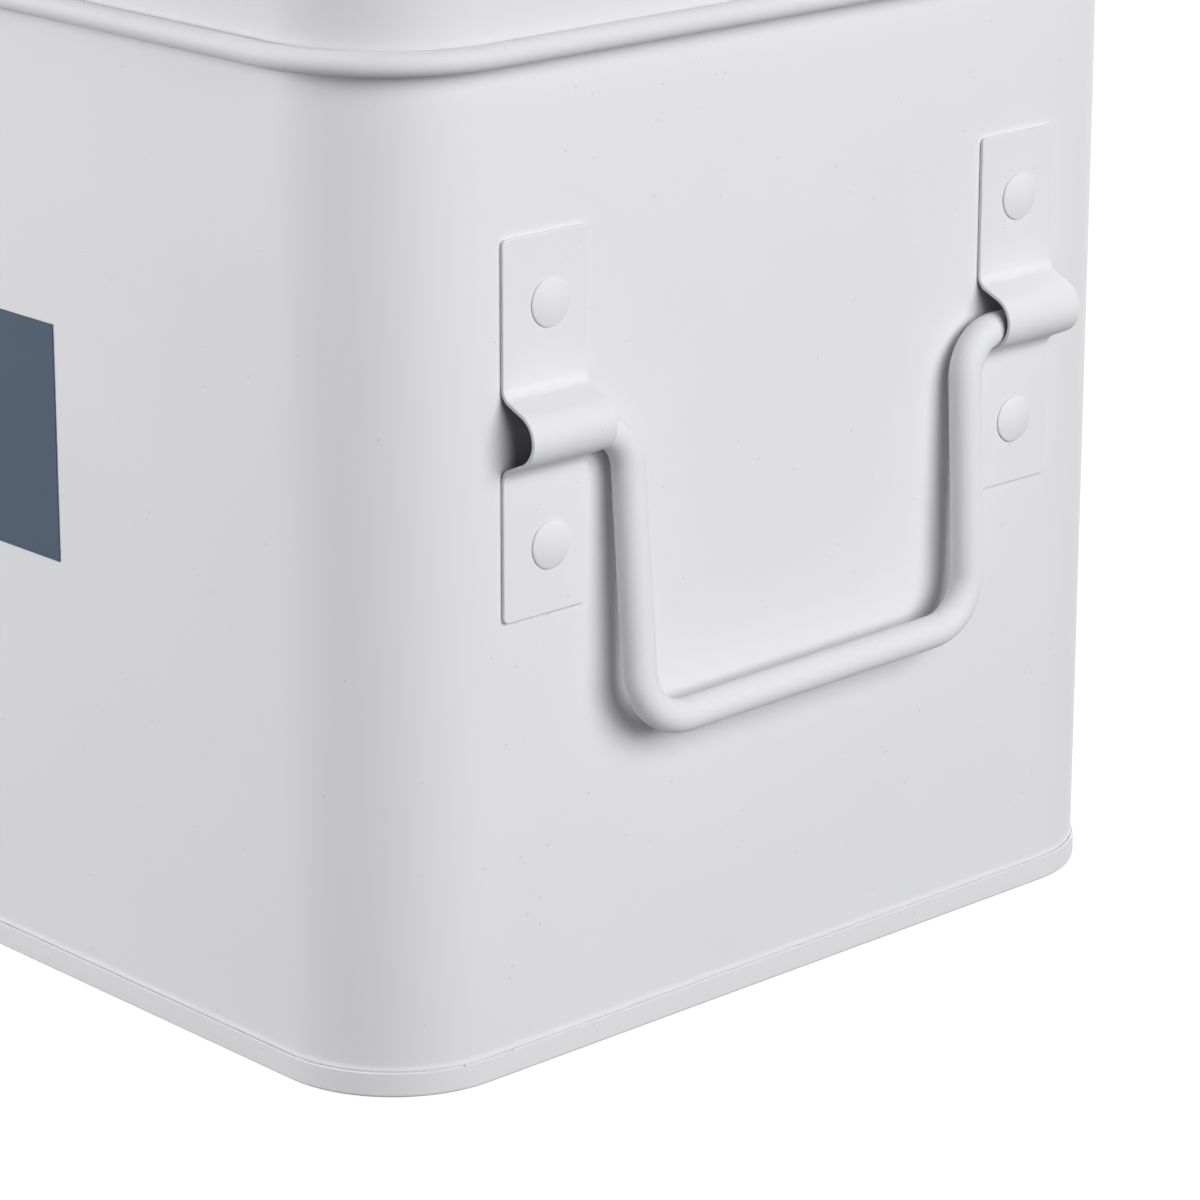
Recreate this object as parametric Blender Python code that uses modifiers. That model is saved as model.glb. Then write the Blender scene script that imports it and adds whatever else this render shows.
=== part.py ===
"""A sheet-steel medicine box with a slip-over lid, two side handles and a lift-out tray.

The body is a wrapped wall with rounded corners, curled in at the top, whose foot stands in the
channel of a pressed base. The lid slips over the wall and ends in a bead rolled outwards. A wire
handle hangs at each short side in two riveted straps. The tray hangs on the wall's curl.

Units are metres. Z is up, the floor is at zero, the cross faces -Y and the middle of the
base's outline is the origin.
"""
import math

import bmesh
import bpy
from mathutils import Matrix

# Overall sizes, measured on the plain outer face of the wall
BOX_WIDTH = 0.320
BOX_DEPTH = 0.195
BOX_HEIGHT = 0.208
CORNER_RADIUS = 0.0245

# Clearances
TOUCH_GAP = 0.0003
PRINT_GAP = 0.0001
LID_CLEARANCE = 0.0005
TRAY_CLEARANCE = 0.0008

# Sheet thicknesses
WALL_SHEET = 0.0007
BASE_SHEET = 0.0006
LID_SHEET = 0.0007
TRAY_SHEET = 0.0007
STRAP_SHEET = 0.0009
DIVIDER_SHEET = 0.0010
PRINT_FILM = 0.0001

# Base and wall
BASE_RIM_HEIGHT = 0.0047
BASE_RECESS = 0.0025
BASE_FOLD_RADIUS = 0.0006
WALL_CURL_RADIUS = 0.0018
WALL_CURL_TURN = math.radians(205)

# Lid
LID_EDGE_RADIUS = 0.0030
LID_SKIRT_DEPTH = 0.0227
LID_BEAD_RADIUS = 0.0022

# Straps, with the rivets that hold them
STRAP_SPACING = 0.120
STRAP_HEIGHT = 0.1187
STRAP_WIDTH = 0.0196
STRAP_LENGTH = 0.0682
STRAP_CORNER = 0.0010
BARREL_HEIGHT = 0.1184
BARREL_REACH = 0.0096
BARREL_NOSE_RADIUS = 0.0050
BARREL_FILLET = 0.0027
BARREL_RAMP = math.radians(24)
RIVET_SPACING = 0.0434
RIVET_SHANK_DIAMETER = 0.0040
RIVET_HEAD_DIAMETER = 0.0088
RIVET_HEAD_HEIGHT = 0.0011
RIVET_TAIL_DIAMETER = 0.0066
RIVET_TAIL_HEIGHT = 0.0012
HOLE_CUTTER_LENGTH = 0.400

# Handles
WIRE_DIAMETER = 0.0062
HANDLE_AXIS_HEIGHT = 0.1170
HANDLE_AXIS_STANDOFF = 0.0039
HANDLE_LEG_SPACING = 0.0868
HANDLE_LEG_DRAW_IN = 0.0010
HANDLE_DEPTH = 0.05535
HANDLE_BAR_TILT = 0.0015
HANDLE_TOP_BEND = 0.0085
HANDLE_CORNER_BEND = 0.0105
HANDLE_LEAN = math.radians(3.65)
HANDLE_END_RECESS = 0.0060

# Printed cross
CROSS_SPAN = 0.1418
CROSS_ARM = 0.0448
CROSS_HEIGHT = 0.1039

# Tray and its dividers
TRAY_DEPTH = 0.0450
TRAY_BEND = 0.0008
TRAY_FLOOR_RADIUS = 0.0030
DIVIDER_HEIGHT = 0.0420
DIVIDER_CORNER = 0.0040
DIVIDER_SPACING = 0.1030
HAND_SLOT_LENGTH = 0.0720
HAND_SLOT_HEIGHT = 0.0180
HAND_SLOT_TOP = 0.0080

# Steps in the curved shapes
CORNER_STEPS = 8
CURL_STEPS = 12
FOLD_STEPS = 3
EDGE_STEPS = 4
NOSE_STEPS = 9
FILLET_STEPS = 3
BEND_STEPS = 6
RIVET_STEPS = 16
DOME_STEPS = 3
SLOT_STEPS = 6
WIRE_BEVEL = 3
MERGE_DISTANCE = 0.00001
SHARP_ANGLE = math.radians(35)

# Heights and offsets that follow from the sizes above
LID_UNDERSIDE = BOX_HEIGHT - LID_SHEET
TRAY_FLANGE_UNDERSIDE = LID_UNDERSIDE - TOUCH_GAP - TRAY_SHEET
WALL_TOP = TRAY_FLANGE_UNDERSIDE - TOUCH_GAP
WALL_FOOT = BASE_SHEET + TOUCH_GAP
TRAY_WALL_OFFSET = -(2 * WALL_CURL_RADIUS + TRAY_CLEARANCE)
TRAY_FLOOR = TRAY_FLANGE_UNDERSIDE + TRAY_SHEET - TRAY_DEPTH
DIVIDER_FOOT = TRAY_FLOOR + TRAY_SHEET + TOUCH_GAP
STRAP_FACE = TOUCH_GAP + STRAP_SHEET
RIVET_HOLE_DIAMETER = RIVET_SHANK_DIAMETER + 2 * TOUCH_GAP
SIDES = (("right", 1), ("left", -1))
ENDS = (("front", -1), ("rear", 1))
LEVELS = (("lower", -1), ("upper", 1))


def clear_scene():
    for old in list(bpy.data.objects):
        bpy.data.objects.remove(old, do_unlink=True)


def new_collection(name):
    collection = bpy.data.collections.new(name)
    bpy.context.scene.collection.children.link(collection)
    return collection


def new_material(name, colour, roughness, metallic):
    material = bpy.data.materials.new(name)
    material.use_nodes = True
    shader = material.node_tree.nodes["Principled BSDF"]
    shader.inputs["Base Color"].default_value = (*colour, 1.0)
    shader.inputs["Roughness"].default_value = roughness
    shader.inputs["Metallic"].default_value = metallic
    return material


def add_object(name, data, material, collection):
    """Link one piece to its collection, with its material in the first slot."""
    piece = bpy.data.objects.new(name, data)
    if not data.materials:
        data.materials.append(material)
    collection.objects.link(piece)
    return piece


def add_solidify(piece, thickness, side):
    """Give an open surface its thickness: side is 1 along the normals and -1 against them."""
    solidify = piece.modifiers.new("sheet", "SOLIDIFY")
    solidify.thickness = thickness
    solidify.offset = side
    solidify.use_even_offset = True


def add_cut(piece, cutter):
    cut = piece.modifiers.new(cutter.name, "BOOLEAN")
    cut.operation = "DIFFERENCE"
    cut.solver = "EXACT"
    cut.object = cutter


def shade_round(mesh):
    mesh.shade_smooth()
    mesh.set_sharp_from_angle(angle=SHARP_ANGLE)


def arc(centre, radius, start, turn, steps):
    """Points along an arc, both ends included."""
    points = []
    for step in range(steps + 1):
        angle = start + turn * step / steps
        points.append((centre[0] + radius * math.cos(angle), centre[1] + radius * math.sin(angle)))
    return points


def rounded_path(corners, radii, steps):
    """A line through the corners, with each inner corner turned into an arc of its radius."""
    points = [corners[0]]
    for before, corner, after, radius in zip(corners, corners[1:], corners[2:], radii):
        to_before = math.atan2(before[1] - corner[1], before[0] - corner[0])
        to_after = math.atan2(after[1] - corner[1], after[0] - corner[0])
        opening = (to_after - to_before + math.pi) % (2 * math.pi) - math.pi
        reach = radius / math.tan(abs(opening) / 2)
        hub_reach = math.hypot(radius, reach)
        middle = to_before + opening / 2
        hub = (corner[0] + hub_reach * math.cos(middle), corner[1] + hub_reach * math.sin(middle))
        turn = math.copysign(math.pi - abs(opening), -opening)
        start = middle + math.pi - turn / 2
        points.extend(arc(hub, radius, start, turn, steps))
    points.append(corners[-1])
    return points


def box_outline(offset):
    """The box's rounded outline seen from above, moved outwards by the offset."""
    reach_x = BOX_WIDTH / 2 - CORNER_RADIUS
    reach_y = BOX_DEPTH / 2 - CORNER_RADIUS
    points = []
    for quarter, (side_x, side_y) in enumerate(((1, 1), (-1, 1), (-1, -1), (1, -1))):
        centre = (side_x * reach_x, side_y * reach_y)
        start = quarter * math.pi / 2
        points.extend(arc(centre, CORNER_RADIUS + offset, start, math.pi / 2, CORNER_STEPS))
    return points


def sheet_around_box(name, section, panel):
    """An open surface that carries a section round the box.

    The section lists offsets from the wall's outer face and heights. It runs from the middle
    or the foot outwards and up, so the normals lie on its outer side. panel says which
    outline is closed flat: "first" for a floor, "last" for a top, or "none".
    """
    work = bmesh.new()
    rings = []
    for offset, height in section:
        rings.append([work.verts.new((x, y, height)) for x, y in box_outline(offset)])
    for lower, upper in zip(rings, rings[1:]):
        for k, vert in enumerate(lower):
            work.faces.new((lower[k - 1], vert, upper[k], upper[k - 1]))
    if panel == "first":
        work.faces.new(reversed(rings[0]))
    if panel == "last":
        work.faces.new(rings[-1])
    mesh = bpy.data.meshes.new(name)
    work.to_mesh(mesh)
    work.free()
    shade_round(mesh)
    return mesh


def make_rivet_cutter(collection):
    """Four long rods through both short walls, where the rivets go, as one cutter."""
    work = bmesh.new()
    upright_to_lengthways = Matrix.Rotation(math.pi / 2, 4, "Y")
    for end, end_sign in ENDS:
        for level, level_sign in LEVELS:
            height = STRAP_HEIGHT + level_sign * RIVET_SPACING / 2
            place = Matrix.Translation((0, end_sign * STRAP_SPACING / 2, height))
            bmesh.ops.create_cone(
                work,
                cap_ends=True,
                segments=RIVET_STEPS,
                radius1=RIVET_HOLE_DIAMETER / 2,
                radius2=RIVET_HOLE_DIAMETER / 2,
                depth=HOLE_CUTTER_LENGTH,
                matrix=place @ upright_to_lengthways,
            )
    mesh = bpy.data.meshes.new("rivet_holes")
    work.to_mesh(mesh)
    work.free()
    cutter = bpy.data.objects.new("rivet_holes", mesh)
    cutter.hide_render = True
    cutter.display_type = "WIRE"
    collection.objects.link(cutter)
    return cutter


def make_body_shell(collection, paint, cutter):
    """The wrapped wall: straight from its foot, then curled in to a safe edge."""
    curl_centre = (-WALL_CURL_RADIUS, WALL_TOP - WALL_CURL_RADIUS)
    section = [(0.0, WALL_FOOT)]
    section += arc(curl_centre, WALL_CURL_RADIUS, 0, WALL_CURL_TURN, CURL_STEPS)
    mesh = sheet_around_box("body_shell", section, "none")
    body = add_object("body_shell", mesh, paint, collection)
    add_solidify(body, WALL_SHEET, -1)
    add_cut(body, cutter)


def make_base(collection, paint):
    """The base: a raised panel, an inner step, and a channel whose outer wall is the rim."""
    inner_face = -(WALL_SHEET + TOUCH_GAP + BASE_SHEET)
    outer_face = TOUCH_GAP + BASE_SHEET
    quarter = math.pi / 2
    panel_corner = (inner_face - BASE_FOLD_RADIUS, BASE_RECESS - BASE_FOLD_RADIUS)
    section = arc(panel_corner, BASE_FOLD_RADIUS, quarter, -quarter, FOLD_STEPS)
    inner_foot = (inner_face + BASE_FOLD_RADIUS, BASE_FOLD_RADIUS)
    section += arc(inner_foot, BASE_FOLD_RADIUS, math.pi, quarter, FOLD_STEPS)
    outer_foot = (outer_face - BASE_FOLD_RADIUS, BASE_FOLD_RADIUS)
    section += arc(outer_foot, BASE_FOLD_RADIUS, -quarter, quarter, FOLD_STEPS)
    section.append((outer_face, BASE_RIM_HEIGHT))
    base = add_object("base_panel", sheet_around_box("base_panel", section, "first"), paint, collection)
    add_solidify(base, BASE_SHEET, -1)


def make_lid(collection, paint):
    """The lid: a bead rolled outwards at the foot of the skirt, a rounded edge and a flat top."""
    inner_face = LID_CLEARANCE
    outer_face = inner_face + LID_SHEET
    bead_centre = (inner_face + LID_BEAD_RADIUS, BOX_HEIGHT - LID_SKIRT_DEPTH)
    tip = math.acos((outer_face + TOUCH_GAP - bead_centre[0]) / LID_BEAD_RADIUS)
    section = arc(bead_centre, LID_BEAD_RADIUS, tip, -tip - math.pi, CURL_STEPS)
    inner_radius = LID_EDGE_RADIUS - LID_SHEET
    edge_centre = (inner_face - inner_radius, LID_UNDERSIDE - inner_radius)
    section += arc(edge_centre, inner_radius, 0, math.pi / 2, EDGE_STEPS)
    lid = add_object("lid", sheet_around_box("lid", section, "last"), paint, collection)
    add_solidify(lid, LID_SHEET, 1)


def make_tray(collection, paint):
    """The lift-out tray: a floor, four walls and a flange that lies on the wall's curl."""
    quarter = math.pi / 2
    floor_corner = (TRAY_WALL_OFFSET - TRAY_FLOOR_RADIUS, TRAY_FLOOR + TRAY_FLOOR_RADIUS)
    section = arc(floor_corner, TRAY_FLOOR_RADIUS, -quarter, quarter, EDGE_STEPS)
    flange_bend = (TRAY_WALL_OFFSET + TRAY_BEND, TRAY_FLANGE_UNDERSIDE - TRAY_BEND)
    section += arc(flange_bend, TRAY_BEND, math.pi, -quarter, FOLD_STEPS)
    section.append((-WALL_CURL_RADIUS, TRAY_FLANGE_UNDERSIDE))
    tray = add_object("tray", sheet_around_box("tray", section, "first"), paint, collection)
    add_solidify(tray, TRAY_SHEET, -1)


def flat_piece(name, outlines, thickness, material, collection):
    """A plate from closed outlines in its own XY plane, centred on that plane."""
    curve = bpy.data.curves.new(name, "CURVE")
    curve.dimensions = "2D"
    curve.fill_mode = "BOTH"
    curve.extrude = thickness / 2
    for outline in outlines:
        spline = curve.splines.new("POLY")
        spline.points.add(len(outline) - 1)
        for point, (x, y) in zip(spline.points, outline):
            point.co = (x, y, 0, 1)
        spline.use_cyclic_u = True
    return add_object(name, curve, material, collection)


def make_cross(collection, ink):
    """The printed cross, a film on the front wall."""
    far = CROSS_SPAN / 2
    near = CROSS_ARM / 2
    arm = [(far, -near), (far, near), (near, near)]
    outline = []
    for quarter in range(4):
        cosine = round(math.cos(quarter * math.pi / 2))
        sine = round(math.sin(quarter * math.pi / 2))
        outline += [(x * cosine - y * sine, x * sine + y * cosine) for x, y in arm]
    cross = flat_piece("front_cross", [outline], PRINT_FILM, ink, collection)
    cross.rotation_euler = (math.pi / 2, 0, 0)
    cross.location = (0, -(BOX_DEPTH / 2 + PRINT_GAP + PRINT_FILM / 2), CROSS_HEIGHT)


def strap_profile():
    """The strap's middle line seen from its edge: distance from the wall, height from its middle.

    From top to bottom it is a flat, a fillet, a ramp, the barrel's nose, a ramp, a fillet and a
    flat. The ramps' run is what the barrel's reach leaves over.
    """
    rest = TOUCH_GAP + STRAP_SHEET / 2
    bulge = 1 - math.sin(BARREL_RAMP)
    nose_x = BARREL_REACH - STRAP_SHEET / 2 - BARREL_NOSE_RADIUS
    ramp_x = nose_x + BARREL_NOSE_RADIUS * math.sin(BARREL_RAMP) - rest - BARREL_FILLET * bulge
    ramp_drop = ramp_x * math.tan(BARREL_RAMP)
    half_height = (BARREL_NOSE_RADIUS + BARREL_FILLET) * math.cos(BARREL_RAMP) + ramp_drop
    middle = BARREL_HEIGHT - STRAP_HEIGHT
    turn = math.pi / 2 - BARREL_RAMP
    top = [(rest, STRAP_LENGTH / 2)]
    upper_fillet = (rest + BARREL_FILLET, middle + half_height)
    top += arc(upper_fillet, BARREL_FILLET, math.pi, turn, FILLET_STEPS)
    nose = arc((nose_x, middle), BARREL_NOSE_RADIUS, turn, -2 * turn, NOSE_STEPS)
    lower_fillet = (rest + BARREL_FILLET, middle - half_height)
    bottom = arc(lower_fillet, BARREL_FILLET, math.pi - turn, turn, FILLET_STEPS)
    bottom.append((rest, -STRAP_LENGTH / 2))
    return top + nose + bottom


def make_straps(collection, paint, cutter):
    """Four straps, each a strip bent to a barrel, with rounded corners and two rivet holes."""
    work = bmesh.new()
    front = [work.verts.new((x, -STRAP_WIDTH / 2, z)) for x, z in strap_profile()]
    strip = [work.edges.new(pair) for pair in zip(front, front[1:])]
    swept = bmesh.ops.extrude_edge_only(work, edges=strip)["geom"]
    rear = [item for item in swept if isinstance(item, bmesh.types.BMVert)]
    bmesh.ops.translate(work, verts=rear, vec=(0, STRAP_WIDTH, 0))
    corners = [vert for vert in work.verts if len(vert.link_edges) == 2]
    bmesh.ops.bevel(
        work, geom=corners, offset=STRAP_CORNER, segments=FILLET_STEPS, profile=0.5, affect="VERTICES"
    )
    bmesh.ops.recalc_face_normals(work, faces=work.faces)
    mesh = bpy.data.meshes.new("strap")
    work.to_mesh(mesh)
    work.free()
    shade_round(mesh)
    for side, side_sign in SIDES:
        for end, end_sign in ENDS:
            strap = add_object(f"strap_{side}_{end}", mesh, paint, collection)
            strap.location = (side_sign * BOX_WIDTH / 2, end_sign * STRAP_SPACING / 2, STRAP_HEIGHT)
            strap.rotation_euler = (0, 0, 0 if side_sign > 0 else math.pi)
            add_solidify(strap, STRAP_SHEET, 0)
            add_cut(strap, cutter)


def make_rivets(collection, paint):
    """Eight rivets: a domed head outside, a shank through strap and wall, a tail inside."""
    head_seat = STRAP_FACE + TOUCH_GAP
    tail_seat = -WALL_SHEET - TOUCH_GAP
    head_radius = RIVET_HEAD_DIAMETER / 2
    shank_radius = RIVET_SHANK_DIAMETER / 2
    tail_radius = RIVET_TAIL_DIAMETER / 2
    dome_radius = (head_radius ** 2 + RIVET_HEAD_HEIGHT ** 2) / (2 * RIVET_HEAD_HEIGHT)
    dome_half = math.asin(head_radius / dome_radius)
    dome_centre = (0, head_seat + RIVET_HEAD_HEIGHT - dome_radius)
    profile = arc(dome_centre, dome_radius, math.pi / 2, -dome_half, DOME_STEPS)
    profile += [
        (shank_radius, head_seat),
        (shank_radius, tail_seat),
        (tail_radius, tail_seat),
        (tail_radius, tail_seat - RIVET_TAIL_HEIGHT),
        (0, tail_seat - RIVET_TAIL_HEIGHT),
    ]
    mesh = bpy.data.meshes.new("rivet")
    edges = [(k, k + 1) for k in range(len(profile) - 1)]
    mesh.from_pydata([(radius, 0, height) for radius, height in profile], edges, [])
    for side, side_sign in SIDES:
        for end, end_sign in ENDS:
            for level, level_sign in LEVELS:
                rivet = add_object(f"rivet_{side}_{end}_{level}", mesh, paint, collection)
                rivet.rotation_euler = (0, side_sign * math.pi / 2, 0)
                height = STRAP_HEIGHT + level_sign * RIVET_SPACING / 2
                rivet.location = (side_sign * BOX_WIDTH / 2, end_sign * STRAP_SPACING / 2, height)
                screw = rivet.modifiers.new("turned", "SCREW")
                screw.steps = RIVET_STEPS
                screw.render_steps = RIVET_STEPS
                screw.use_merge_vertices = True
                screw.merge_threshold = MERGE_DISTANCE


def make_handles(collection, paint):
    """Two wire handles, each with its origin on the axis on which it swings."""
    leg = HANDLE_LEG_SPACING / 2
    leg_foot = leg - HANDLE_LEG_DRAW_IN
    wire_end = (STRAP_SPACING + STRAP_WIDTH) / 2 - HANDLE_END_RECESS
    front_drop = HANDLE_DEPTH + HANDLE_BAR_TILT / 2
    rear_drop = HANDLE_DEPTH - HANDLE_BAR_TILT / 2
    corners = [
        (-wire_end, 0),
        (-leg, 0),
        (-leg_foot, -front_drop),
        (leg_foot, -rear_drop),
        (leg, 0),
        (wire_end, 0),
    ]
    radii = (HANDLE_TOP_BEND, HANDLE_CORNER_BEND, HANDLE_CORNER_BEND, HANDLE_TOP_BEND)
    path = rounded_path(corners, radii, BEND_STEPS)
    for side, side_sign in SIDES:
        curve = bpy.data.curves.new(f"handle_{side}", "CURVE")
        curve.dimensions = "3D"
        curve.bevel_depth = WIRE_DIAMETER / 2
        curve.bevel_resolution = WIRE_BEVEL
        curve.use_fill_caps = True
        spline = curve.splines.new("POLY")
        spline.points.add(len(path) - 1)
        for point, (along, height) in zip(spline.points, path):
            outwards = -height * math.sin(HANDLE_LEAN)
            point.co = (side_sign * outwards, along, height * math.cos(HANDLE_LEAN), 1)
        handle = add_object(f"handle_{side}", curve, paint, collection)
        axis_x = side_sign * (BOX_WIDTH / 2 + HANDLE_AXIS_STANDOFF)
        handle.location = (axis_x, 0, HANDLE_AXIS_HEIGHT)


def make_dividers(collection, paint):
    """One long divider with a hand slot, and two cross dividers that lap over it."""
    inner_offset = TRAY_WALL_OFFSET - TRAY_SHEET - TOUCH_GAP
    half_length = BOX_WIDTH / 2 + inner_offset
    half_width = BOX_DEPTH / 2 + inner_offset
    lap = DIVIDER_HEIGHT / 2
    lap_half_width = DIVIDER_SHEET / 2 + TOUCH_GAP
    slot_radius = HAND_SLOT_HEIGHT / 2
    slot_reach = HAND_SLOT_LENGTH / 2 - slot_radius
    slot_height = DIVIDER_HEIGHT - HAND_SLOT_TOP - slot_radius
    lap_middles = (-DIVIDER_SPACING / 2, DIVIDER_SPACING / 2)

    def plate_outline(half, notches, notch_from, notch_to):
        """An upright plate's outline: rounded foot corners and notches in one long edge."""
        quarter = math.pi / 2
        bend = half - DIVIDER_CORNER
        outline = arc((bend, DIVIDER_CORNER), DIVIDER_CORNER, -quarter, quarter, FOLD_STEPS)
        top = [(half, DIVIDER_HEIGHT), (-half, DIVIDER_HEIGHT)]
        foot = arc((-bend, DIVIDER_CORNER), DIVIDER_CORNER, math.pi, quarter, FOLD_STEPS)
        left_first = []
        for middle in notches:
            left_first += [
                (middle - lap_half_width, notch_from),
                (middle - lap_half_width, notch_to),
                (middle + lap_half_width, notch_to),
                (middle + lap_half_width, notch_from),
            ]
        if notch_from > notch_to:
            return outline + top[:1] + left_first[::-1] + top[1:] + foot
        return outline + top + foot + left_first

    half_gap = TOUCH_GAP / 2
    long_outline = plate_outline(half_length, lap_middles, DIVIDER_HEIGHT, lap - half_gap)
    hand_slot = arc((slot_reach, slot_height), slot_radius, -math.pi / 2, math.pi, SLOT_STEPS)
    hand_slot += arc((-slot_reach, slot_height), slot_radius, math.pi / 2, math.pi, SLOT_STEPS)
    long_divider = flat_piece(
        "tray_divider_long", [long_outline, hand_slot], DIVIDER_SHEET, paint, collection
    )
    long_divider.rotation_euler = (math.pi / 2, 0, 0)
    long_divider.location = (0, 0, DIVIDER_FOOT)
    cross_outline = plate_outline(half_width, (0,), 0, lap + half_gap)
    for side, side_sign in SIDES:
        name = f"tray_divider_{side}"
        divider = flat_piece(name, [cross_outline], DIVIDER_SHEET, paint, collection)
        divider.rotation_euler = (math.pi / 2, 0, math.pi / 2)
        divider.location = (side_sign * DIVIDER_SPACING / 2, 0, DIVIDER_FOOT)


def build():
    clear_scene()
    box = new_collection("medicine_box")
    cutter_collection = new_collection("cutters")
    white_paint = new_material("white_powder_coat", (0.80, 0.81, 0.83), 0.42, 0.0)
    blue_ink = new_material("slate_blue_print", (0.085, 0.115, 0.150), 0.45, 0.0)
    cutter = make_rivet_cutter(cutter_collection)
    make_body_shell(box, white_paint, cutter)
    make_base(box, white_paint)
    make_lid(box, white_paint)
    make_cross(box, blue_ink)
    make_straps(box, white_paint, cutter)
    make_rivets(box, white_paint)
    make_handles(box, white_paint)
    make_tray(box, white_paint)
    make_dividers(box, white_paint)


build()
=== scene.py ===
# %% [markdown]
# # A powder-coated medicine box
#
# This lesson dresses a sheet-steel medicine box. The measured model gives the places and the
# sizes. The lesson rebuilds each curved sheet with finer steps, coats it and lights it.
# Units are metres, Z is up, and the printed cross faces -Y.

# %% Tools and the measured model
import math

import bmesh
import bpy
from mathutils import Matrix, Vector


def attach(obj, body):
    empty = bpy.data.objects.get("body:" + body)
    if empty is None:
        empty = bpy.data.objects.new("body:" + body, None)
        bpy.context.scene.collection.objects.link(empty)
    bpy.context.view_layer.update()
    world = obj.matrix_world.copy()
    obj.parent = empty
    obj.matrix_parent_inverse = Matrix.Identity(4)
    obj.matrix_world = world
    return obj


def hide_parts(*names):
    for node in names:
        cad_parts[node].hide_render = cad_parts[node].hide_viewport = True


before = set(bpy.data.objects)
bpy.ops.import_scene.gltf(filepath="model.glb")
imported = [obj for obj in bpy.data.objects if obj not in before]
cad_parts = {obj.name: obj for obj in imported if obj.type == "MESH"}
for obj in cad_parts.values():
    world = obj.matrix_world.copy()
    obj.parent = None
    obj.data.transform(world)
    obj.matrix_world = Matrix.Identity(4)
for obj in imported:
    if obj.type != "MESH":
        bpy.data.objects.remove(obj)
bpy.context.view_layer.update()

# %% [markdown]
# ## The camera
#
# The picture is a close view of one lower corner, taken with a long lens from a little above.
# A long lens keeps the box's edges nearly parallel. The lens axis doesn't pass through the
# middle of the frame, so a small shift is kept instead of turning the camera.

# %% Camera
IMAGE_PIXELS = 1200
SENSOR_WIDTH_MM = 36
FOCAL_PIXELS = 4695.66
LENS_AXIS_PIXEL = (579.98, 446.68)
CAMERA_PLACE = (0.73597, -0.58502, 0.33701)
CAMERA_AZIMUTH = math.radians(47.148)
CAMERA_ELEVATION = math.radians(15.919)

camera_data = bpy.data.cameras.new("camera")
camera_data.sensor_width = SENSOR_WIDTH_MM
camera_data.lens = FOCAL_PIXELS / IMAGE_PIXELS * SENSOR_WIDTH_MM
camera_data.shift_x = 0.5 - LENS_AXIS_PIXEL[0] / IMAGE_PIXELS
camera_data.shift_y = LENS_AXIS_PIXEL[1] / IMAGE_PIXELS - 0.5
camera = bpy.data.objects.new("camera", camera_data)
camera.location = CAMERA_PLACE
camera.rotation_euler = (math.pi / 2 - CAMERA_ELEVATION, 0, CAMERA_AZIMUTH)
bpy.context.scene.collection.objects.link(camera)
bpy.context.scene.camera = camera
print("lens:", round(camera_data.lens, 2), "mm")

# %% [markdown]
# ## Colours and nodes
#
# Colours are written as hex values, the way a paint chart gives them. Shaders work with
# linear light, so one function turns each pair of digits to a linear value. Another small
# function adds a node with its settings and links, which keeps a material readable.


# %% Helpers for materials
def colour(hex_digits):
    """Turn an sRGB hex colour to the linear colour that a shader takes."""
    linear = []
    for start in (0, 2, 4):
        value = int(hex_digits[start:start + 2], 16) / 255
        linear.append(value / 12.92 if value <= 0.04045 else ((value + 0.055) / 1.055) ** 2.4)
    return (*linear, 1.0)


def add_node(tree, kind, settings, links):
    """Add a node, set its properties and sockets, and link sockets to other nodes' outputs."""
    node = tree.nodes.new(kind)
    for name, value in settings.items():
        if isinstance(name, str) and hasattr(node, name):
            setattr(node, name, value)
        else:
            node.inputs[name].default_value = value
    for name, source in links.items():
        tree.links.new(source, node.inputs[name])
    return node


print("mid grey as linear light:", colour("808080"))

# %% [markdown]
# ## Dust and chips
#
# A coat that is sprayed and baked always holds some dust, and a box in use has a few chips.
# Each could be a small mesh, but a mask in the material is lighter: it is 1 in the mark and 0
# elsewhere. For dust a cell pattern shows only its centres, in a few of the cells, because
# that scatters the grains unevenly. The pattern is moved aside, so that the box's flat sides
# cut it where centres lie. Three chips sit where the box has been knocked: two on the foot's
# joint and one on the bead.

# %% Dust mask
DUST_SPACING = 0.0042
DUST_RADIUS = 0.00034
DUST_FREE_SHARE = 0.70
DUST_OFFSET = (0.0026, 0.0, 0.0)


def dust_mask(tree, place):
    """Return 1 in the middle of each dust grain, and 0 away from the grains."""
    moved = add_node(
        tree, "ShaderNodeVectorMath", {"operation": "ADD", 1: DUST_OFFSET}, {0: place}
    )
    cells = add_node(
        tree,
        "ShaderNodeTexVoronoi",
        {"feature": "F1", "Scale": 1 / DUST_SPACING},
        {"Vector": moved.outputs["Vector"]},
    )
    near_centre = add_node(
        tree,
        "ShaderNodeMapRange",
        {"From Min": DUST_RADIUS / DUST_SPACING, "From Max": 0.0, "To Min": 0.0, "To Max": 1.0},
        {"Value": cells.outputs["Distance"]},
    )
    split = add_node(tree, "ShaderNodeSeparateColor", {}, {"Color": cells.outputs["Color"]})
    chosen = add_node(
        tree,
        "ShaderNodeMath",
        {"operation": "GREATER_THAN", 1: DUST_FREE_SHARE},
        {0: split.outputs["Red"]},
    )
    dust = add_node(
        tree,
        "ShaderNodeMath",
        {"operation": "MULTIPLY"},
        {0: near_centre.outputs["Result"], 1: chosen.outputs["Value"]},
    )
    return dust.outputs["Value"]


print(f"dust: a grain in some cells of {DUST_SPACING * 1000:.1f} mm")

# %% Chip mask
CHIP_RADIUS = 0.0004
CHIP_CORE_RADIUS = CHIP_RADIUS / 3
CHIPS = (
    (0.1599, -0.0783, 0.0048),
    (0.1606, -0.0675, 0.0048),
    (0.1636, -0.0712, 0.1833),
)


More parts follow.
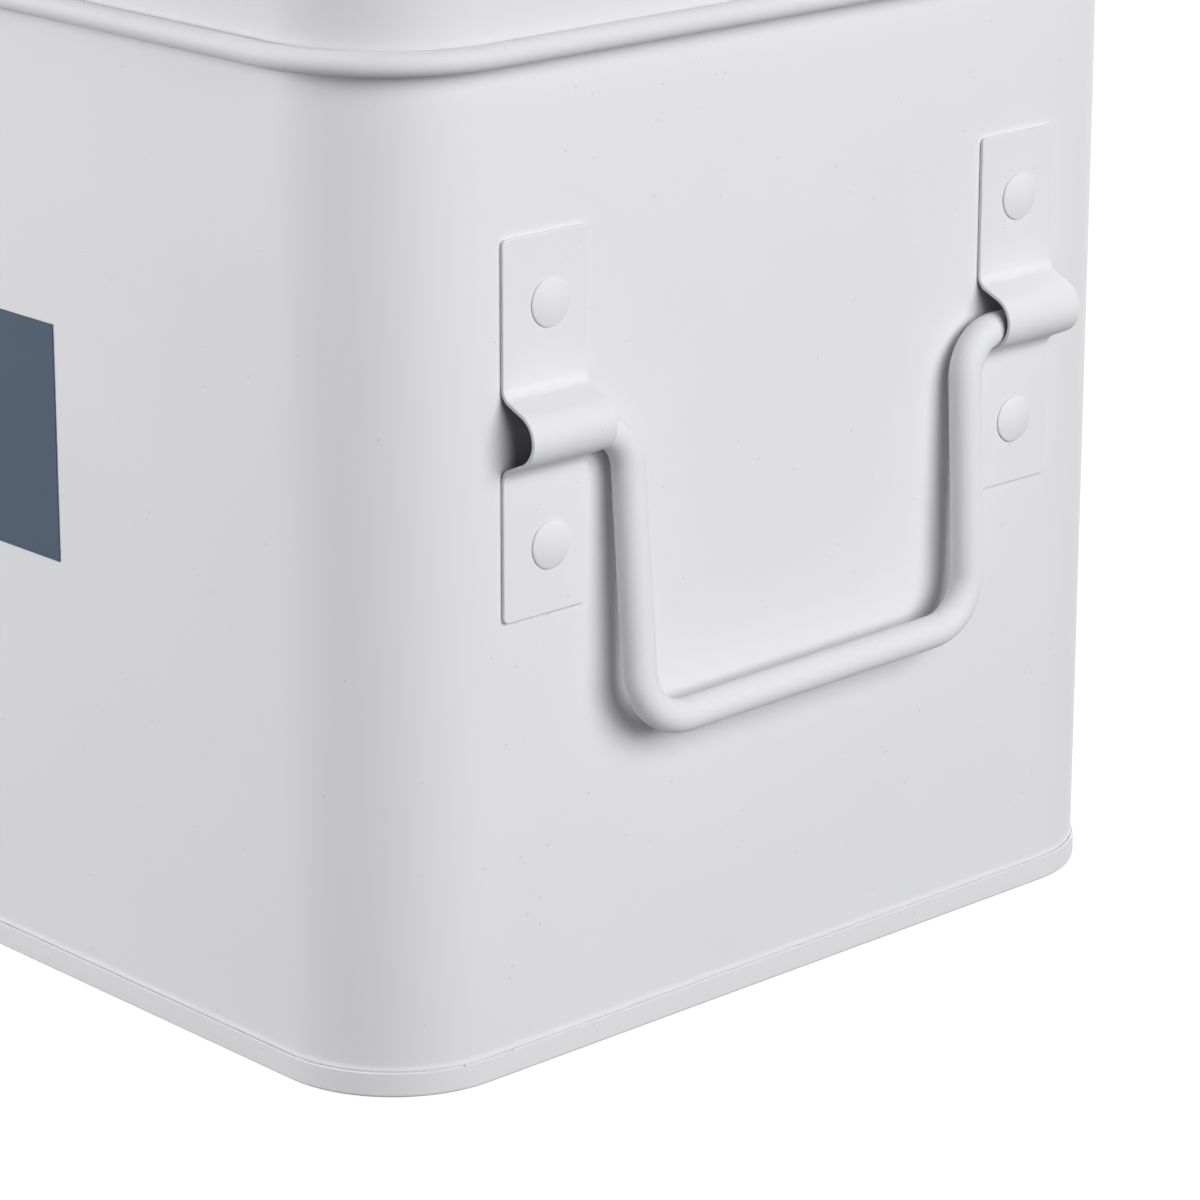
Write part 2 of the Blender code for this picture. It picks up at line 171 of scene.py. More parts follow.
def chip_mask(tree, place):
    """Return 1 in the core of each chip, and 0 outside all of them."""
    masks = []
    for spot in CHIPS:
        away = add_node(
            tree, "ShaderNodeVectorMath", {"operation": "DISTANCE", 1: spot}, {0: place}
        )
        chip = add_node(
            tree,
            "ShaderNodeMapRange",
            {"From Min": CHIP_RADIUS, "From Max": CHIP_CORE_RADIUS, "To Min": 0.0, "To Max": 1.0},
            {"Value": away.outputs["Value"]},
        )
        masks.append(chip.outputs["Result"])
    chips = masks[0]
    for mask in masks[1:]:
        both = add_node(tree, "ShaderNodeMath", {"operation": "MAXIMUM"}, {0: chips, 1: mask})
        chips = both.outputs["Value"]
    return chips


print("chips:", len(CHIPS))

# %% [markdown]
# ## The coat's relief
#
# Powder melts and flows in the oven to a fine grain of about a millimetre, and the coat
# follows slow waves in the sheet. Both are too shallow to model, so noise drives a chain of
# bumps, each laid over the one before. They break up the highlights a little.

# %% Waves, grain and dust as bumps
GRAIN_SPACING = 0.0011
GRAIN_DEPTH = 0.00002
WAVE_SPACING = 0.070
WAVE_DEPTH = 0.00030
WAVE_STRENGTH = 0.25
DUST_DEPTH = 0.00006
DUST_STRENGTH = 0.6


def coat_relief(tree, place, dust, grain_strength):
    """Bump the surface with slow waves, then grain, then dust, and return its normal."""
    waves = add_node(
        tree, "ShaderNodeTexNoise", {"Scale": 1 / WAVE_SPACING, "Detail": 1.0}, {"Vector": place}
    )
    waved = add_node(
        tree,
        "ShaderNodeBump",
        {"Strength": WAVE_STRENGTH, "Distance": WAVE_DEPTH},
        {"Height": waves.outputs["Fac"]},
    )
    grain = add_node(
        tree,
        "ShaderNodeTexNoise",
        {"Scale": 1 / GRAIN_SPACING, "Detail": 2.0, "Roughness": 0.6},
        {"Vector": place},
    )
    grained = add_node(
        tree,
        "ShaderNodeBump",
        {"Strength": grain_strength, "Distance": GRAIN_DEPTH},
        {"Height": grain.outputs["Fac"], "Normal": waved.outputs["Normal"]},
    )
    pimpled = add_node(
        tree,
        "ShaderNodeBump",
        {"Strength": DUST_STRENGTH, "Distance": DUST_DEPTH},
        {"Height": dust, "Normal": grained.outputs["Normal"]},
    )
    return pimpled.outputs["Normal"]


print(f"grain of {GRAIN_SPACING * 1000:.1f} mm, waves of {WAVE_SPACING * 1000:.0f} mm")

# %% [markdown]
# ## Powder coat
#
# The steel is sprayed with polyester powder and baked. The coat is half matt: it gives broad
# soft highlights and no clear reflection. Its colour comes from two close whites in slow
# clouds, because a single value looks like plastic. Dust and chips are mixed in over it. The
# lid's coat is a shade greyer than the wall's. The straps' backs, and so the insides of the
# barrels, get a dark grey coat: this is painted shade in the barrels.

# %% A powder coat
ROUGHNESS_SPREAD = 0.03
COAT_SHINE = 0.35
CLOUD_SPACING = 0.045
DUST_COLOUR = "CACACD"
CHIP_COLOUR = "94949A"


def make_powder_coat(name, light_hex, dark_hex, roughness, grain_strength):
    """Make a half matt powder coat, with grain, slow waves, faint clouds, dust and chips."""
    material = bpy.data.materials.new(name)
    material.use_nodes = True
    tree = material.node_tree
    shader = tree.nodes["Principled BSDF"]
    place = add_node(tree, "ShaderNodeTexCoord", {}, {}).outputs["Object"]
    clouds = add_node(
        tree, "ShaderNodeTexNoise", {"Scale": 1 / CLOUD_SPACING, "Detail": 3.0}, {"Vector": place}
    )
    paint = add_node(
        tree,
        "ShaderNodeMix",
        {"data_type": "RGBA", 6: colour(light_hex), 7: colour(dark_hex)},
        {0: clouds.outputs["Fac"]},
    )
    dust = dust_mask(tree, place)
    dusted = add_node(
        tree,
        "ShaderNodeMix",
        {"data_type": "RGBA", 7: colour(DUST_COLOUR)},
        {0: dust, 6: paint.outputs[2]},
    )
    chipped = add_node(
        tree,
        "ShaderNodeMix",
        {"data_type": "RGBA", 7: colour(CHIP_COLOUR)},
        {0: chip_mask(tree, place), 6: dusted.outputs[2]},
    )
    gloss = add_node(
        tree,
        "ShaderNodeMapRange",
        {"To Min": roughness - ROUGHNESS_SPREAD, "To Max": roughness + ROUGHNESS_SPREAD},
        {"Value": clouds.outputs["Fac"]},
    )
    normal = coat_relief(tree, place, dust, grain_strength)
    shader.inputs["Specular IOR Level"].default_value = COAT_SHINE
    tree.links.new(chipped.outputs[2], shader.inputs["Base Color"])
    tree.links.new(gloss.outputs["Result"], shader.inputs["Roughness"])
    tree.links.new(normal, shader.inputs["Normal"])
    print("material:", name)
    return material


print(f"colour clouds of {CLOUD_SPACING * 1000:.0f} mm")

# %% The coats on this box
COAT_ROUGHNESS = 0.65
WIRE_ROUGHNESS = 0.62
BARREL_SHADE_ROUGHNESS = 0.60
SHEET_GRAIN = 0.35
WIRE_GRAIN = 0.20

white_coat = make_powder_coat(
    "white_powder_coat_on_sheet", "E7E7E9", "E3E3E5", COAT_ROUGHNESS, SHEET_GRAIN
)
# The lid's coat is a shade greyer than the wall's.
lid_coat = make_powder_coat(
    "white_powder_coat_on_lid", "E1E1E3", "DDDDDF", COAT_ROUGHNESS, SHEET_GRAIN
)
wire_coat = make_powder_coat(
    "white_powder_coat_on_wire", "E7E7E9", "E4E4E6", WIRE_ROUGHNESS, WIRE_GRAIN
)
# Dark grey for the straps' backs: painted shade in the barrels.
barrel_shade_coat = make_powder_coat(
    "painted_shade_in_barrels", "6E6E73", "646469", BARREL_SHADE_ROUGHNESS, SHEET_GRAIN
)

# %% [markdown]
# ## Screen-printed ink
#
# The cross is one layer of slate-blue ink, pressed through a mesh onto the finished coat. The
# ink dries with a softer gloss than the coat and hides it fully. The squeegee leaves faint
# bands, and the coat's grain still shows through as a fine bump.

# %% Ink material
INK_BAND_SPACING = 0.012
INK_BAND_STRETCH = (0.12, 1.0, 1.0)
INK_ROUGHNESS = 0.55
INK_SHINE = 0.20
INK_GRAIN = 0.3

ink = bpy.data.materials.new("slate_blue_screen_print")
ink.use_nodes = True
ink_tree = ink.node_tree
ink_shader = ink_tree.nodes["Principled BSDF"]
ink_place = add_node(ink_tree, "ShaderNodeTexCoord", {}, {}).outputs["Object"]
ink_stretch = add_node(
    ink_tree, "ShaderNodeMapping", {"Scale": INK_BAND_STRETCH}, {"Vector": ink_place}
)
ink_bands = add_node(
    ink_tree,
    "ShaderNodeTexNoise",
    {"Scale": 1 / INK_BAND_SPACING, "Detail": 4.0},
    {"Vector": ink_stretch.outputs["Vector"]},
)
ink_paint = add_node(
    ink_tree,
    "ShaderNodeMix",
    {"data_type": "RGBA", 6: colour("445567"), 7: colour("405163")},
    {0: ink_bands.outputs["Fac"]},
)
ink_grain = add_node(
    ink_tree,
    "ShaderNodeTexNoise",
    {"Scale": 1 / GRAIN_SPACING, "Detail": 2.0},
    {"Vector": ink_place},
)
ink_bump = add_node(
    ink_tree,
    "ShaderNodeBump",
    {"Strength": INK_GRAIN, "Distance": GRAIN_DEPTH},
    {"Height": ink_grain.outputs["Fac"]},
)
ink_shader.inputs["Roughness"].default_value = INK_ROUGHNESS
ink_shader.inputs["Specular IOR Level"].default_value = INK_SHINE
ink_tree.links.new(ink_paint.outputs[2], ink_shader.inputs["Base Color"])
ink_tree.links.new(ink_bump.outputs["Normal"], ink_shader.inputs["Normal"])
print("material:", ink.name)

# %% [markdown]
# ## A pen for sections
#
# Sheet metal is read best from its section. A pen draws that section: a vertex is extruded
# to make a straight line, and spun about a centre to make an arc. The section lies in the
# XZ plane, and a positive turn is anticlockwise as seen from the front. Modifiers then give
# the sheet its thickness and round its cut edges, because paint leaves no sharp edge.

# %% The pen
TURN_AXIS = (0, -1, 0)


def pen_start(work, x, z):
    """Set the pen down at a point and return the vertex there."""
    return work.verts.new((x, 0, z))


def pen_line(work, vert, x, z):
    """Draw a straight line to a point and return the vertex at its end."""
    far = bmesh.ops.extrude_vert_indiv(work, verts=[vert])["verts"][0]
    far.co = (x, 0, z)
    return far


def pen_arc(work, vert, centre_x, centre_z, turn, steps):
    """Draw an arc about a centre and return the vertex at its end."""
    made = bmesh.ops.spin(
        work, geom=[vert], cent=(centre_x, 0, centre_z), axis=TURN_AXIS, angle=turn, steps=steps
    )
    return [item for item in made["geom_last"] if isinstance(item, bmesh.types.BMVert)][0]


print("pen: start, line and arc")

# %% Pieces, thickness and edges
EDGE_ANGLE = math.radians(50)
EDGE_STEPS = 3
PAINTED_EDGE = 0.0002


def drawn_piece(name, work, material, body, node):
    """Turn a finished bmesh to a smooth piece that stands for its node and rides on its body."""
    mesh = bpy.data.meshes.new(name)
    work.to_mesh(mesh)
    work.free()
    mesh.shade_smooth()
    mesh.materials.append(material)
    piece = bpy.data.objects.new(name, mesh)
    bpy.context.scene.collection.objects.link(piece)
    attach(piece, body)
    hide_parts(node)
    return piece


def keep_flats(piece):
    """Weight the shading by the faces' areas, so that large flats look flat."""
    weigh = piece.modifiers.new("flat_shading", "WEIGHTED_NORMAL")
    weigh.keep_sharp = False


def soften_edges(piece, name, radius):
    """Round the edges that are sharp, and keep the flats' shading flat."""
    soften = piece.modifiers.new(name, "BEVEL")
    soften.width = radius
    soften.segments = EDGE_STEPS
    soften.limit_method = "ANGLE"
    soften.angle_limit = EDGE_ANGLE
    keep_flats(piece)


def add_sheet(piece, thickness, side, edge_radius):
    """Give a surface its sheet thickness, soften its cut edges and keep its flats flat."""
    sheet = piece.modifiers.new("sheet", "SOLIDIFY")
    sheet.thickness = thickness
    sheet.offset = side
    sheet.use_even_offset = True
    soften_edges(piece, "painted_edges", edge_radius)


print(f"painted edges: {PAINTED_EDGE * 1000:.1f} mm")

# %% [markdown]
# ## Round the box
#
# Wall, lid, base and tray all follow one rounded outline. Their section is drawn in the
# middle of the right side, extruded along each straight side and spun through each corner.
# A straight side gets a narrow strip at either end. It keeps the corner's shading off the flat.

# %% Pushing a section
END_STRIP = 0.0012


def edges_and_verts(items):
    """Sort an operator's result into its edges and its vertices."""
    edges = [item for item in items if isinstance(item, bmesh.types.BMEdge)]
    verts = [item for item in items if isinstance(item, bmesh.types.BMVert)]
    return edges, verts


def verts_of(edges):
    """List the edges' vertices, each of them once."""
    return list(dict.fromkeys(vert for edge in edges for vert in edge.verts))


def push(work, edges, move):
    """Extrude a section along a straight run and return its far end."""
    made = bmesh.ops.extrude_edge_only(work, edges=edges)
    far_edges, far_verts = edges_and_verts(made["geom"])
    bmesh.ops.translate(work, verts=far_verts, vec=move)
    return far_edges


def push_in_parts(work, edges, direction, length):
    """Push a section along a side, with a narrow strip at either end of it."""
    for part in (END_STRIP, length - 2 * END_STRIP, END_STRIP):
        edges = push(work, edges, direction * part)
    return edges


print(f"end strips: {END_STRIP * 1000:.1f} mm")

# %% Carrying a section round the box
BOX_WIDTH = 0.320
BOX_DEPTH = 0.195
CORNER_RADIUS = 0.0245
CORNER_STEPS = 32
WELD_DISTANCE = 0.000002
UPRIGHT_NORMAL = 0.99


def close_panel(work, panel_height):
    """Fill the open rim at the given height with one flat face."""
    rim = [
        edge
        for edge in work.edges
        if edge.is_boundary
        and all(abs(vert.co.z - panel_height) < WELD_DISTANCE for vert in edge.verts)
    ]
    bmesh.ops.contextual_create(work, geom=rim)


def face_outwards(work):
    """Make the faces point one way, and turn them if the outermost one looks inwards."""
    bmesh.ops.recalc_face_normals(work, faces=work.faces)
    upright = [face for face in work.faces if abs(face.normal.x) > UPRIGHT_NORMAL]
    outermost = max(upright, key=lambda face: face.calc_center_median().x)
    if outermost.normal.x < 0:
        bmesh.ops.reverse_faces(work, faces=work.faces)


def carry_round(work, panel_height):
    """Carry the drawn section once round the box, and close the panel if it has a height."""
    edges = list(work.edges)
    reach_x = BOX_WIDTH / 2 - CORNER_RADIUS
    reach_y = BOX_DEPTH / 2 - CORNER_RADIUS
    corners = ((reach_x, reach_y), (-reach_x, reach_y), (-reach_x, -reach_y), (reach_x, -reach_y))
    direction = Vector((0, 1, 0))
    lengths = (reach_y, 2 * reach_x, 2 * reach_y, 2 * reach_x)
    for (corner_x, corner_y), length in zip(corners, lengths):
        edges = push_in_parts(work, edges, direction, length)
        made = bmesh.ops.spin(
            work,
            geom=edges + verts_of(edges),
            cent=(corner_x, corner_y, 0),
            axis=(0, 0, 1),
            angle=math.pi / 2,
            steps=CORNER_STEPS,
        )
        edges, _ = edges_and_verts(made["geom_last"])
        direction = Matrix.Rotation(math.pi / 2, 3, "Z") @ direction
    push_in_parts(work, edges, direction, reach_y)
    bmesh.ops.remove_doubles(work, verts=work.verts, dist=WELD_DISTANCE)
    if panel_height is not None:
        close_panel(work, panel_height)
    face_outwards(work)
    return len(work.faces)


print(f"outline: {BOX_WIDTH * 1000:.0f} x {BOX_DEPTH * 1000:.0f} mm")

# %% [markdown]
# ## The wall
#
# One strip of 0.7 mm steel is wrapped round and curled in at the top, so that no cut edge
# meets a hand. Its foot stands in the base's channel. Just above that channel the wall
# swells out to the face of the rim. The swell looks up a little, so it catches the light
# as a bright line over the fine dark joint, and the rim's edge is a second bright line.

# %% Wall
SHEET = 0.0007
WALL_TOP = 0.2060
WALL_FOOT = 0.0009
CURL_RADIUS = 0.0018
CURL_TURN = math.radians(205)
RIM_HEIGHT = 0.0047
SWELL_GAP = 0.00022
SWELL_REACH = 0.00020
SWELL_HEIGHT = 0.0011
SWELL_NOSE_RADIUS = 0.0007
NOSE_STEPS = 6
FILLET_STEPS = 8
CURL_STEPS = 20
half_width = BOX_WIDTH / 2
swell_foot = RIM_HEIGHT + SWELL_GAP
swell_turn = 2 * math.atan(SWELL_REACH / SWELL_HEIGHT)
swell_fillet = SWELL_HEIGHT / math.sin(swell_turn) - SWELL_NOSE_RADIUS

wall_work = bmesh.new()
tip = pen_start(wall_work, half_width, WALL_FOOT)
tip = pen_line(wall_work, tip, half_width, swell_foot)
tip = pen_line(wall_work, tip, half_width + SWELL_REACH, swell_foot)
nose_x = half_width + SWELL_REACH - SWELL_NOSE_RADIUS
tip = pen_arc(wall_work, tip, nose_x, swell_foot, swell_turn, NOSE_STEPS)
fillet_x = half_width + swell_fillet
tip = pen_arc(
    wall_work, tip, fillet_x, swell_foot + SWELL_HEIGHT, -swell_turn, FILLET_STEPS
)
tip = pen_line(wall_work, tip, half_width, WALL_TOP - CURL_RADIUS - END_STRIP)
tip = pen_line(wall_work, tip, half_width, WALL_TOP - CURL_RADIUS)
pen_arc(
    wall_work, tip, half_width - CURL_RADIUS, WALL_TOP - CURL_RADIUS, CURL_TURN, CURL_STEPS
)
print("wall faces:", carry_round(wall_work, None))
wall = drawn_piece("wall", wall_work, white_coat, "box", "body_shell")
add_sheet(wall, SHEET, -1, PAINTED_EDGE)

# %% [markdown]
# ## The base
#
# The base is pressed from one sheet. A raised panel keeps it off the table, a step runs round
# it, and a narrow channel takes the wall's foot. The channel's outer side is the rim that
# shows round the foot of the box.

# %% Base
BASE_SHEET = 0.0005
RIM_GAP = 0.00008
PANEL_HEIGHT = 0.0025
FOLD = 0.0006
FOLD_STEPS = 6
BASE_EDGE = 0.00024
rim_x = half_width + RIM_GAP + BASE_SHEET
step_x = half_width - SHEET - RIM_GAP - BASE_SHEET

base_work = bmesh.new()
tip = pen_start(base_work, step_x - FOLD, PANEL_HEIGHT)
tip = pen_arc(base_work, tip, step_x - FOLD, PANEL_HEIGHT - FOLD, -math.pi / 2, FOLD_STEPS)
tip = pen_line(base_work, tip, step_x, FOLD)
tip = pen_arc(base_work, tip, step_x + FOLD, FOLD, math.pi / 2, FOLD_STEPS)
tip = pen_line(base_work, tip, rim_x - FOLD, 0)
tip = pen_arc(base_work, tip, rim_x - FOLD, FOLD, math.pi / 2, FOLD_STEPS)
pen_line(base_work, tip, rim_x, RIM_HEIGHT)
print("base faces:", carry_round(base_work, PANEL_HEIGHT))
base = drawn_piece("base", base_work, white_coat, "box", "base_panel")
add_sheet(base, BASE_SHEET, -1, BASE_EDGE)

# %% [markdown]
# ## The lid
#
# The lid's skirt slips over the wall. Its foot is rolled outwards to a full bead, which
# stiffens it and gives the fingers a grip. The roll ends just short of the skirt, and that
# gap is the dark crease on top of the bead.

# %% Lid
BOX_HEIGHT = 0.208
LID_CLEARANCE = 0.0005
LID_EDGE_RADIUS = 0.0030
BEAD_RADIUS = 0.00219
BEAD_HEIGHT = 0.1853
BEAD_GAP = 0.00028
BEAD_STEPS = 36
LID_EDGE_STEPS = 10
skirt_x = half_width + LID_CLEARANCE
bead_x = skirt_x + BEAD_RADIUS
roll_start = math.acos((skirt_x + SHEET + BEAD_GAP - bead_x) / BEAD_RADIUS)
inner_edge = LID_EDGE_RADIUS - SHEET
lid_underside = BOX_HEIGHT - SHEET

lid_work = bmesh.new()
tip = pen_start(
    lid_work,
    bead_x + BEAD_RADIUS * math.cos(roll_start),
    BEAD_HEIGHT + BEAD_RADIUS * math.sin(roll_start),
)
tip = pen_arc(lid_work, tip, bead_x, BEAD_HEIGHT, -roll_start - math.pi, BEAD_STEPS)
tip = pen_line(lid_work, tip, skirt_x, lid_underside - inner_edge)
pen_arc(
    lid_work,
    tip,
    skirt_x - inner_edge,
    lid_underside - inner_edge,
    math.pi / 2,
    LID_EDGE_STEPS,
)
print("lid faces:", carry_round(lid_work, lid_underside))
lid = drawn_piece("slip_lid", lid_work, lid_coat, "lid", "lid")
add_sheet(lid, SHEET, -1, PAINTED_EDGE)

# %% [markdown]
# ## The printed cross
#
# The cross is flat and has crisp corners, and the measured film is already that shape. It
# stays, and only takes the ink.

# %% Cross
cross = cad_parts["front_cross"]
for material_slot in cross.material_slots:
    material_slot.material = ink

# %% [markdown]
# ## The straps
#
# Each strap is a strip of thin steel. The press forms a half barrel across it, in which the
# handle's wire can turn, with a small fillet where the barrel meets the flats. The strip
# is drawn from its edge, extruded to its width, and its four corners are rounded. Straps and
# rivets sit a little aside of their places, as pieces that a hand has set.

# %% A strap's section
STRAP_HEIGHT = 0.1187
STRAP_LENGTH = 0.0682
STRAP_SHEET = 0.0008
STRAP_GAP = 0.00006
BARREL_HEIGHT = 0.1184
BARREL_REACH = 0.0087
NOSE_RADIUS = 0.0049
BARREL_FILLET = 0.0027
BARREL_RAMP = math.radians(24)
BARREL_STEPS = 28
BARREL_FILLET_STEPS = 10


def draw_strap(work):
    """Draw the strap's middle line from top to bottom: flat, fillet, nose, fillet, flat."""
    flat_x = STRAP_GAP + STRAP_SHEET / 2
    nose_x = BARREL_REACH - STRAP_SHEET / 2 - NOSE_RADIUS
    turn = math.pi / 2 - BARREL_RAMP
    run = nose_x + NOSE_RADIUS * math.cos(turn) - flat_x - BARREL_FILLET * (1 - math.cos(turn))
    half_height = (NOSE_RADIUS + BARREL_FILLET) * math.sin(turn) + run * math.tan(BARREL_RAMP)
    middle = BARREL_HEIGHT - STRAP_HEIGHT
    fillet_x = flat_x + BARREL_FILLET
    tip = pen_start(work, flat_x, STRAP_LENGTH / 2)
    tip = pen_line(work, tip, flat_x, middle + half_height)
    tip = pen_arc(work, tip, fillet_x, middle + half_height, turn, BARREL_FILLET_STEPS)
    nose_top = NOSE_RADIUS * math.sin(turn)
    tip = pen_line(work, tip, nose_x + NOSE_RADIUS * math.cos(turn), middle + nose_top)
    tip = pen_arc(work, tip, nose_x, middle, -2 * turn, BARREL_STEPS)
    low_end = fillet_x - BARREL_FILLET * math.cos(turn)
    tip = pen_line(work, tip, low_end, middle - half_height + BARREL_FILLET * math.sin(turn))
    tip = pen_arc(work, tip, fillet_x, middle - half_height, turn, BARREL_FILLET_STEPS)
    pen_line(work, tip, flat_x, -STRAP_LENGTH / 2)


print(f"barrels reach {BARREL_REACH * 1000:.1f} mm from the wall")

# %% Straps
STRAP_SPACING = 0.120
STRAP_WIDTH = 0.0196
STRAP_CORNER = 0.0010
STRAP_CORNER_STEPS = 5
STRAP_EDGE = 0.00022
STRAP_SHIFT = 0.0005
ROUND_PROFILE = 0.5
SIDES = (("right", 1), ("left", -1))
ENDS = (("front", -1), ("rear", 1))


def make_strap(side, side_sign, end, end_sign):
    """Make one strap. Its faces on the wall's side get the dark grey coat, painted shade in the
    barrels.
    """
    work = bmesh.new()
    draw_strap(work)
    bmesh.ops.translate(work, verts=work.verts, vec=(0, -STRAP_WIDTH / 2, 0))
    push(work, list(work.edges), Vector((0, STRAP_WIDTH, 0)))
    corners = [vert for vert in work.verts if len(vert.link_edges) == 2]
    bmesh.ops.bevel(
        work,
        geom=corners,
        offset=STRAP_CORNER,
        segments=STRAP_CORNER_STEPS,
        profile=ROUND_PROFILE,
        affect="VERTICES",
        material=-1,
    )
    bmesh.ops.recalc_face_normals(work, faces=work.faces)
    bmesh.ops.rotate(
        work,
        verts=work.verts,
        cent=(0, 0, 0),
        matrix=Matrix.Rotation(0 if side_sign > 0 else math.pi, 3, "Z"),
    )
    place = (side_sign * half_width, end_sign * STRAP_SPACING / 2 + STRAP_SHIFT, STRAP_HEIGHT)
    bmesh.ops.translate(work, verts=work.verts, vec=place)
    strap = drawn_piece(f"{side}_{end}_strap", work, white_coat, "box", f"strap_{side}_{end}")
    strap.data.materials.append(barrel_shade_coat)
    add_sheet(strap, STRAP_SHEET, 0, STRAP_EDGE)
    # The second slot goes on the wall's side: dark grey, painted shade in the barrels.
    strap.modifiers["sheet"].material_offset = 1


for side, side_sign in SIDES:
    for end, end_sign in ENDS:
        make_strap(side, side_sign, end, end_sign)
print("straps:", len(SIDES) * len(ENDS))

# %% [markdown]
# ## The rivets
#
# Each strap is held by two rivets with low domed heads, coated together with the box. The
# head's outline is drawn once and spun to a full turn.

# %% A rivet
HEAD_RADIUS = 0.0044
HEAD_HEIGHT = 0.0011
HEAD_EDGE = 0.0003
RIVET_CLEARANCE = 0.00004
RIVET_EDGE = 0.00022
RIVET_SIDES = 48
DOME_STEPS = 10
SHARP_ANGLE = math.radians(40)
SHANK_RADIUS = 0.0020
TAIL_RADIUS = 0.0033
TAIL_HEIGHT = 0.0012
strap_face = STRAP_GAP + STRAP_SHEET
head_seat = strap_face + RIVET_CLEARANCE
tail_seat = -SHEET - RIVET_CLEARANCE


def draw_rivet(work):
    """Draw half a rivet's section, with its axis on Z, and spin it about that axis."""
    crown = HEAD_HEIGHT - HEAD_EDGE
    dome_radius = (HEAD_RADIUS ** 2 + crown ** 2) / (2 * crown)
    dome_half = math.asin(HEAD_RADIUS / dome_radius)
    tip = pen_start(work, 0, head_seat + HEAD_HEIGHT)
    tip = pen_arc(work, tip, 0, head_seat + HEAD_HEIGHT - dome_radius, -dome_half, DOME_STEPS)
    tip = pen_line(work, tip, HEAD_RADIUS, head_seat)
    tip = pen_line(work, tip, SHANK_RADIUS, head_seat)
    tip = pen_line(work, tip, SHANK_RADIUS, tail_seat)
    tip = pen_line(work, tip, TAIL_RADIUS, tail_seat)
    tip = pen_line(work, tip, TAIL_RADIUS, tail_seat - TAIL_HEIGHT)
    pen_line(work, tip, 0, tail_seat - TAIL_HEIGHT)
    bmesh.ops.spin(
        work,
        geom=list(work.verts) + list(work.edges),
        cent=(0, 0, 0),
        axis=(0, 0, 1),
        angle=2 * math.pi,
        steps=RIVET_SIDES,
        use_merge=True,
    )
    bmesh.ops.remove_doubles(work, verts=work.verts, dist=WELD_DISTANCE)
    bmesh.ops.recalc_face_normals(work, faces=work.faces)
    rings = [
        edge for edge in work.edges if edge.is_manifold and edge.calc_face_angle() > SHARP_ANGLE
    ]
    bmesh.ops.bevel(
        work,
        geom=rings,
        offset=RIVET_EDGE,
        segments=EDGE_STEPS,
        profile=ROUND_PROFILE,
        affect="EDGES",
        material=-1,
    )


print(f"rivet heads: {2 * HEAD_RADIUS * 1000:.1f} mm")

# %% Rivets
RIVET_SPACING = 0.0434
RIVET_SHIFT = {"front": 0.0015, "rear": 0.0008}
LEVELS = (("lower", -1), ("upper", 1))


def make_rivet(side, side_sign, end, end_sign, level, level_sign):
    """Make one rivet, turn its head outwards and set it in its strap."""
    work = bmesh.new()
    draw_rivet(work)
    turn = Matrix.Rotation(side_sign * math.pi / 2, 3, "Y")
    bmesh.ops.rotate(work, verts=work.verts, cent=(0, 0, 0), matrix=turn)
    height = STRAP_HEIGHT + level_sign * RIVET_SPACING / 2
    place = (side_sign * half_width, end_sign * STRAP_SPACING / 2 + RIVET_SHIFT[end], height)
    bmesh.ops.translate(work, verts=work.verts, vec=place)
    node = f"rivet_{side}_{end}_{level}"
    rivet = drawn_piece(f"{side}_{end}_{level}_rivet", work, white_coat, "box", node)
    keep_flats(rivet)


for side, side_sign in SIDES:
    for end, end_sign in ENDS:
        for level, level_sign in LEVELS:
            make_rivet(side, side_sign, end, end_sign, level, level_sign)
print("rivets:", len(SIDES) * len(ENDS) * len(LEVELS))

# %% [markdown]
# ## The handles
#
# Each handle is one length of round wire, bent cold on a jig, so its bends have an inner
# radius and its bar isn't quite level. A circle of edges is pushed along each straight
# and spun through each bend. The whole handle then leans out from the wall, as it hangs.

# %% Bending wire
BEND_STEPS = 16


def push_wire(work, edges, y, z):
    """Push the wire straight on until the ring at its end is centred on a point."""
    ring = [vert for edge in edges for vert in edge.verts]
    here = sum((vert.co for vert in ring), Vector()) / len(ring)
    return push(work, edges, Vector((0, y, z)) - here)


def bend_wire(work, edges, before, corner, after, radius):
    """Push the wire to the start of a bend and spin it through, in the YZ plane."""
    arriving = (corner - before).normalized()
    leaving = (after - corner).normalized()
    turn = -arriving.angle_signed(leaving)
    start = corner - arriving * (radius * math.tan(abs(turn) / 2))
    side = math.copysign(radius, turn)
    centre = start + Vector((-arriving.y, arriving.x)) * side
    edges = push_wire(work, edges, start.x, start.y)
    made = bmesh.ops.spin(
        work,
        geom=edges + verts_of(edges),
        cent=(0, centre.x, centre.y),
        axis=(1, 0, 0),
        angle=turn,
        steps=BEND_STEPS,
    )
    edges, _ = edges_and_verts(made["geom_last"])
    return edges


print("steps in a bend:", BEND_STEPS)

# %% Handles
WIRE_RADIUS = 0.0031
AXIS_HEIGHT = 0.1170
AXIS_STANDOFF = 0.0039
LEG_HALF = 0.0434
LEG_DRAW_IN = 0.0010
BAR_DEPTH = 0.05535
BAR_TILT = 0.0015
TOP_BEND = 0.0085
CORNER_BEND = 0.0105
HANDLE_LEAN = math.radians(3.65)
WIRE_END = 0.0616
WIRE_SIDES = 32
FILED_EDGE = 0.0004


